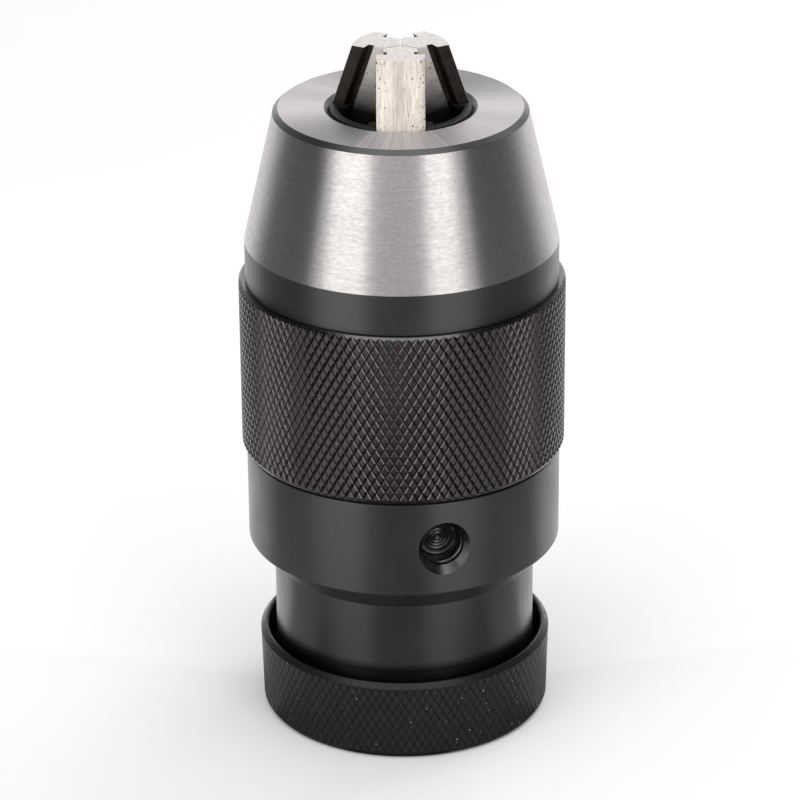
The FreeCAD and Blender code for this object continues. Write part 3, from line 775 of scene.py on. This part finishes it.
def make_grip_sleeve():
    """Coarse knurled sleeve. A chamfer above and a plain rim below cut into the knurl."""
    pitches = 114
    pitch_z = 2.4
    chamfer = 0.42
    rim_height = 0.42
    sleeve = knurl_stock(
        "grip_knurl", lambda z: GRIP_R + CREST_TRIM, GRIP_LOW_Z, GRIP_TOP_Z, pitches, pitch_z, GRIP_DEPTH)
    blank = lathe("grip_blank", [
        (SKIRT_R, GRIP_LOW_Z, 0.05),
        (GRIP_R - 0.36, GRIP_LOW_Z, 0.05),
        (GRIP_R - 0.28, GRIP_LOW_Z + rim_height, 0.05),
        (GRIP_R, GRIP_LOW_Z + rim_height + 0.16, 0),
        (GRIP_R, GRIP_TOP_Z - chamfer, 0),
        (GRIP_R - chamfer, GRIP_TOP_Z, 0),
        (SKIRT_R, GRIP_TOP_Z, 0.05),
    ], 2 * pitches, 0.5)
    boolean(sleeve, blank, "INTERSECT")
    knurled, edge = range(2)

    def finish_of(face):
        z = face.center.z / MM
        on_chamfer = face.normal.z > 0.6 and z > GRIP_TOP_Z - chamfer - 0.08
        return edge if on_chamfer or z < GRIP_LOW_Z + rim_height - 0.02 else knurled

    dress(sleeve, [SLEEVE_KNURL, SLEEVE_EDGE], finish_of, sharp=18.0)
    stand_for(sleeve, "grip_sleeve", "shell")


def make_rear_ring():
    """Finer, shallower knurl on the slightly tapered cup ring."""
    pitches = 110
    pitch_z = 2.25
    chamfer_z = RING_TOP_Z - 0.8
    cup_r = 21.5
    cup_floor_z = 5.0
    hub_r = 14.5
    recess_r = 16.8
    recess_z = 2.2

    def radius_at(z):
        return RING_LOW_R + RING_LEAN * z

    ring = knurl_stock(
        "rear_ring_knurl", lambda z: radius_at(z) + CREST_TRIM, 0, RING_TOP_Z, pitches, pitch_z, RING_DEPTH)
    blank = lathe("ring_blank", [
        (recess_r, 0, 0.1),
        (RING_LOW_R - 0.6, 0, 0.1),
        (radius_at(0.9), 0.9, 0),
        (radius_at(chamfer_z), chamfer_z, 0),
        (radius_at(RING_TOP_Z) - 0.75, RING_TOP_Z, 0.12),
        (cup_r + 0.25, RING_TOP_Z, 0.1),
        (cup_r, RING_TOP_Z - 0.25, 0.1),
        (cup_r, cup_floor_z, 0.4),
        (hub_r, cup_floor_z, 0),
        (hub_r, recess_z, 0),
        (recess_r, recess_z, 0.1),
    ], 2 * pitches, 0.5)
    boolean(ring, blank, "INTERSECT")
    knurled, rim = range(2)

    def finish_of(face):
        return rim if face.center.z > chamfer_z * MM and face.normal.z > 0.3 else knurled

    dress(ring, [RING_KNURL, RING_RIM], finish_of, sharp=20.0)
    stand_for(ring, "rear_grip_ring", "core")


# -------------------------------------------------------------- jaws and guide

def edged_copy(node, width, segments, pick):
    """Copy of a CAD piece in which the sharp edges that pick chooses are rounded."""
    mesh = NODES[node].data.copy()
    work = bmesh.new()
    work.from_mesh(mesh)
    bmesh.ops.remove_doubles(work, verts=work.verts, dist=1e-6)
    bmesh.ops.dissolve_limit(work, angle_limit=math.radians(1.0), verts=work.verts, edges=work.edges)
    sharp = [edge for edge in work.edges if edge.calc_face_angle(0) > math.radians(30) and pick(edge)]
    bmesh.ops.bevel(work, geom=sharp, offset=width * MM, segments=segments, profile=0.5,
                    affect="EDGES", clamp_overlap=True)
    work.to_mesh(mesh)
    work.free()
    return add_object("chuck_" + node, mesh)


def make_guide():
    """Slotted cone between the jaws, with its rim's outer edges rounded."""
    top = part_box("jaw_guide")[1].z
    rim_r = 10.3 * MM

    def on_rim(edge):
        return all(point.co.z > top - 0.1 * MM and point.co.xy.length > rim_r for point in edge.verts)

    guide = edged_copy("jaw_guide", 0.28, 3, on_rim)
    dress(guide, [GUIDE_BLACK], sharp=30.0)
    stand_for(guide, "jaw_guide", "shell")


def make_jaw(number, angle):
    """Each face of a jaw is finished as it was made: ground outside and on top, black on the flanks."""
    node = "jaw_%d" % number
    jaw = edged_copy(node, 0.09, 2, lambda edge: True)
    turn = math.radians(angle)
    out = Vector((math.cos(turn), math.sin(turn), 0))
    across = Vector((-out.y, out.x, 0))
    front, top, scale, wedge = range(4)

    def finish_of(face):
        """Reach is how far out the face lies, once the jaw's lean is taken off."""
        centre = face.center / MM
        lean_out = face.normal.dot(out)
        reach = centre.dot(out) - (TIP_Z - centre.z) * JAW_LEAN
        if face.normal.z > 0.8 and centre.z > TIP_Z - 0.5:
            return top
        if lean_out > 0.7:
            return front if reach > 5.5 else scale
        blade_side = abs(abs(centre.dot(across)) - BLADE_HALF_WIDTH) < 0.1
        meeting = lean_out < -0.2 and reach < 3
        return wedge if meeting or blade_side else scale

    dress(jaw, [jaw_front(angle), JAW_TOP, JAW_SCALE, JAW_WEDGE], finish_of, sharp=30.0)
    stand_for(jaw, node, node)


# ------------------------------------------------------------ camera and light

def make_camera():
    """Camera in front of the chuck, looking down on it."""
    place = Matrix.Translation((0, -0.5342, 0.2934))
    look_down = 24.42
    tilt = Matrix.Rotation(math.radians(90.0 - look_down), 4, "X")
    yaw = Matrix.Rotation(math.radians(0.05), 4, "Z")
    roll = Matrix.Rotation(math.radians(-0.46), 4, "Z")
    camera = bpy.data.cameras.new("camera")
    camera.lens = 170.4
    camera.sensor_width = 36.0
    holder = add_object("camera", camera)
    holder.matrix_world = place @ yaw @ tilt @ roll
    bpy.context.scene.camera = holder


def aimed(azimuth, elevation, distance, target):
    """Placement at a direction from the target, turned to face it. Azimuth 0 is the camera's side."""
    a = math.radians(azimuth)
    e = math.radians(elevation)
    away = Vector((math.sin(a) * math.cos(e), -math.cos(a) * math.cos(e), math.sin(e)))
    turn = away.to_track_quat("Z", "Y").to_matrix().to_4x4()
    return Matrix.Translation(target + away * distance) @ turn


def softbox(name, azimuth, elevation, distance, width, height, glow):
    """Rectangular light that faces the chuck's middle. Glow is its brightness, whatever its size."""
    middle = Vector((0, 0, 0.06))
    lamp = bpy.data.lights.new(name, "AREA")
    lamp.shape = "RECTANGLE"
    lamp.size = width
    lamp.size_y = height
    lamp.energy = glow * math.pi * width * height
    lamp.color = (1.0, 0.98, 0.935)
    holder = add_object(name, lamp)
    holder.matrix_world = aimed(azimuth, elevation, distance, middle)
    holder.visible_camera = False


def flat_object(name, corners):
    mesh = bpy.data.meshes.new(name)
    mesh.from_pydata(corners, [], [tuple(range(len(corners)))])
    return add_object(name, mesh)


def reflection_card(name, corners, grey, fade=None, glow=0.0):
    """Plain card that only reflections see, as photographers set beside bright metal.

    Fade holds the two y between which it thins out. Glow is its own light."""
    card = flat_object(name, corners)
    card.visible_camera = False
    card.visible_diffuse = False
    card.visible_shadow = False
    shader = Shader(name + "_paper")
    if fade:
        shader.set(Alpha=shader.span(shader.along((0, 1, 0)), *fade, 1.0, 0.0))
    shader.set(Emission_Color=shade(1, 1, 1), Emission_Strength=glow)
    card.data.materials.append(shader.set(Base_Color=shade(grey, grey, grey), Roughness=0.9))


def side_card(name, x, front_y, back_y, low, high, grey):
    """Upright card beside the chuck, which thins out towards the back."""
    corners = [(x, front_y, low), (x, back_y, low), (x, back_y, high), (x, front_y, high)]
    fading = 0.42 * (back_y - front_y)
    reflection_card(name, corners, grey, fade=(back_y - fading, back_y))


def floor_card(name, from_azimuth, to_azimuth, grey, start=0.001, reach=0.24, z=0.0003, glow=0.0):
    """Sector of a ring that lies just over the floor, from radius start to radius reach.

    Azimuth 0 is the camera's side."""
    steps = 12
    turns = [math.radians(from_azimuth + (to_azimuth - from_azimuth) * i / steps) for i in range(steps + 1)]
    outer = [(reach * math.sin(turn), -reach * math.cos(turn), z) for turn in turns]
    inner = [(start * math.sin(turn), -start * math.cos(turn), z) for turn in reversed(turns)]
    reflection_card(name, outer + inner, grey, glow=glow)


def make_floor():
    """Plain pale floor."""
    reach = 3.0
    corners = [(-reach, -reach, 0), (reach, -reach, 0), (reach, reach, 0), (-reach, reach, 0)]
    floor = flat_object("floor", corners)
    shader = Shader("floor_paper")
    tooth = shader.noise(shader.place(), 900.0, 2.0)
    floor.data.materials.append(shader.set(
        Base_Color=shade(0.88, 0.88, 0.88), Roughness=0.9, Normal=shader.bump(tooth, 0.05, 0.0001)))


def make_studio():
    """Softboxes in white surroundings, and the cards that the black and ground steel reflects."""
    world = bpy.data.worlds.new("studio")
    world.use_nodes = True
    back = world.node_tree.nodes["Background"]
    back.inputs["Color"].default_value = shade(0.98, 0.955, 1.0)
    back.inputs["Strength"].default_value = 0.70
    bpy.context.scene.world = world

    # azimuth, elevation, distance, width, height, glow
    softbox("softbox_left", -41.5, 18.0, 0.75, 0.42, 0.70, 1.40)
    softbox("softbox_right", 31.5, 18.0, 0.75, 0.32, 0.70, 1.40)
    softbox("softbox_behind", 137.0, 45.0, 1.0, 0.5, 0.5, 2.6)
    softbox("softbox_over", 0.0, 74.0, 0.9, 0.9, 0.45, 2.2)
    softbox("backdrop_glow", 180.0, 12.0, 1.3, 1.3, 0.7, 0.9)
    # x, front y, back y, low z, high z, grey
    side_card("card_left", -0.11, -0.060, 0.100, 0.0, 0.115, 0.12)
    side_card("card_right", 0.11, -0.090, 0.090, 0.0, 0.115, 0.12)
    side_card("card_high_left", -0.11, -0.060, 0.110, 0.115, 0.27, 0.015)
    side_card("card_high_right", 0.11, -0.090, 0.110, 0.115, 0.27, 0.015)
    # from azimuth, to azimuth, grey
    floor_card("card_front", -25.0, 18.0, 0.03, reach=0.42)
    floor_card("card_box_left", -62.0, -25.0, 0.72)
    floor_card("card_box_right", 18.0, 50.0, 0.72)
    floor_card("card_dim_right", 14.0, 46.0, 0.15, start=0.126, reach=0.182, z=0.0006)
    floor_card("card_low_left", -104.0, -62.0, 0.52)
    floor_card("card_low_right", 50.0, 104.0, 0.52)
    floor_card("card_back", 104.0, 256.0, 0.0, glow=1.4)
    # painted shadow: dark floor cards round the chuck's foot, which reflections see as the shadow on the
    # floor round its base
    floor_card("foot_shadow_card", -68.0, 68.0, 0.13, reach=0.062, z=0.0006)
    floor_card("foot_shadow_ring_card", -68.0, 68.0, 0.0, start=0.043, reach=0.053, z=0.0009)
    bpy.context.scene.view_settings.view_transform = "Standard"


# ------------------------------------------------------------------------ make

make_camera()
make_floor()
make_studio()
make_hood()
make_rear_shell()
make_grip_sleeve()
make_rear_ring()
make_guide()
for number, angle in enumerate((270.0, 30.0, 150.0), start=1):
    make_jaw(number, angle)
for node, material in INNER_MATERIALS.items():
    for place in NODES[node].material_slots:
        place.material = material
